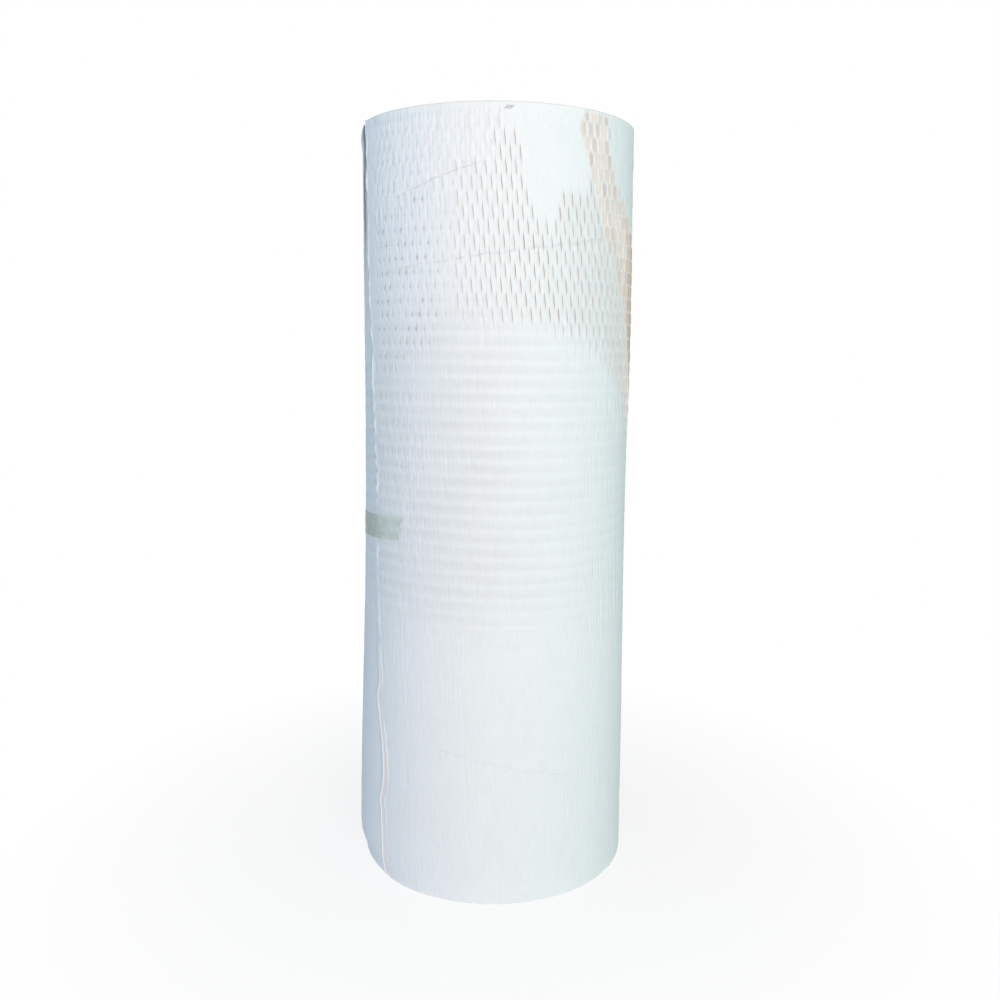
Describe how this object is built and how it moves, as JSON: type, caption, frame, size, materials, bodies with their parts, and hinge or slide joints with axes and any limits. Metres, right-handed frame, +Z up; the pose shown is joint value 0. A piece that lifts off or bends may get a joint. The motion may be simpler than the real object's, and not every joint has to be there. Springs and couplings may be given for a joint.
{
  "type": "honeycomb paper roll",
  "caption": "Roll of white slit paper that stretches into honeycomb wrapping, wound on a paperboard core and held shut with a strip of tape.",
  "frame": {"origin": "on the roll's axis, at the surface that the roll stands on", "axes": "+Z up along the roll's axis, -Y towards the front with the paper's free end at the left, +X to the right"},
  "size_m": [0.1852, 0.1858, 0.5],
  "materials": {
    "slit_paper": "matte white slit paper with fine fibres",
    "core_board": "brown spiral-wound paperboard",
    "clear_tape": "translucent grey-green tape, slightly glossy"
  },
  "bodies": {
    "root": {"paper_roll": "slit_paper", "core_tube": "core_board", "tail_tape": "clear_tape"}
  },
  "joints": []
}
